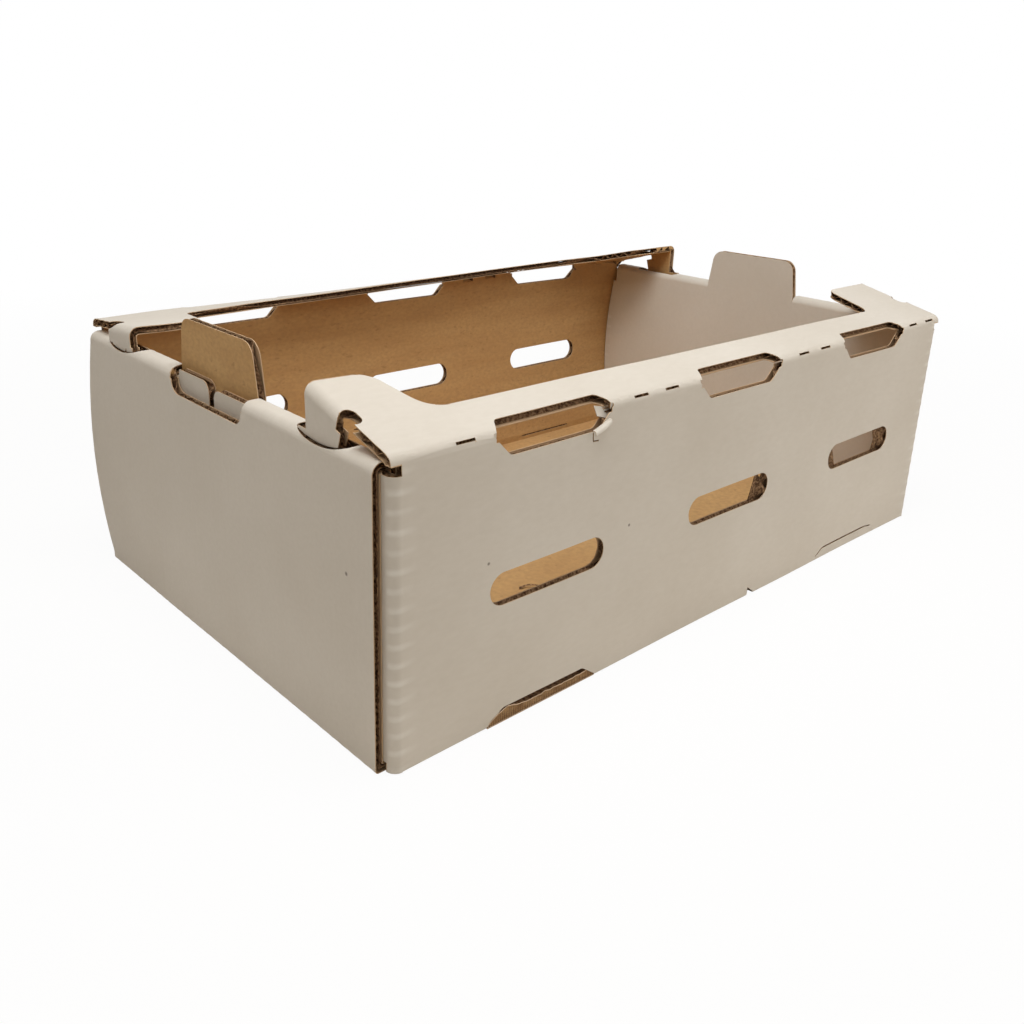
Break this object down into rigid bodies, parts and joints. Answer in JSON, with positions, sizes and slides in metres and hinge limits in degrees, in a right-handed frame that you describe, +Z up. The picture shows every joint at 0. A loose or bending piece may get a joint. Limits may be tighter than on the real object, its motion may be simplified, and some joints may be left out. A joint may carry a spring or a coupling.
{
  "type": "corrugated cardboard tray box",
  "caption": "Open-top shipping tray folded from one white-lined corrugated sheet, with hand holes, top flanges locked at the corners, double end walls and stacking tabs.",
  "frame": {"origin": "middle of the underside of the bottom panel, on the surface the tray stands on", "axes": "+X along the tray's length, towards the far end wall; +Y across it, towards the rear long side; +Z up. The long side with its hand holes in view faces -Y"},
  "size_m": [0.5053, 0.3202, 0.18],
  "materials": {
    "board": "matte white-lined corrugated board"
  },
  "bodies": {
    "root": {"tray": "board"}
  },
  "joints": []
}
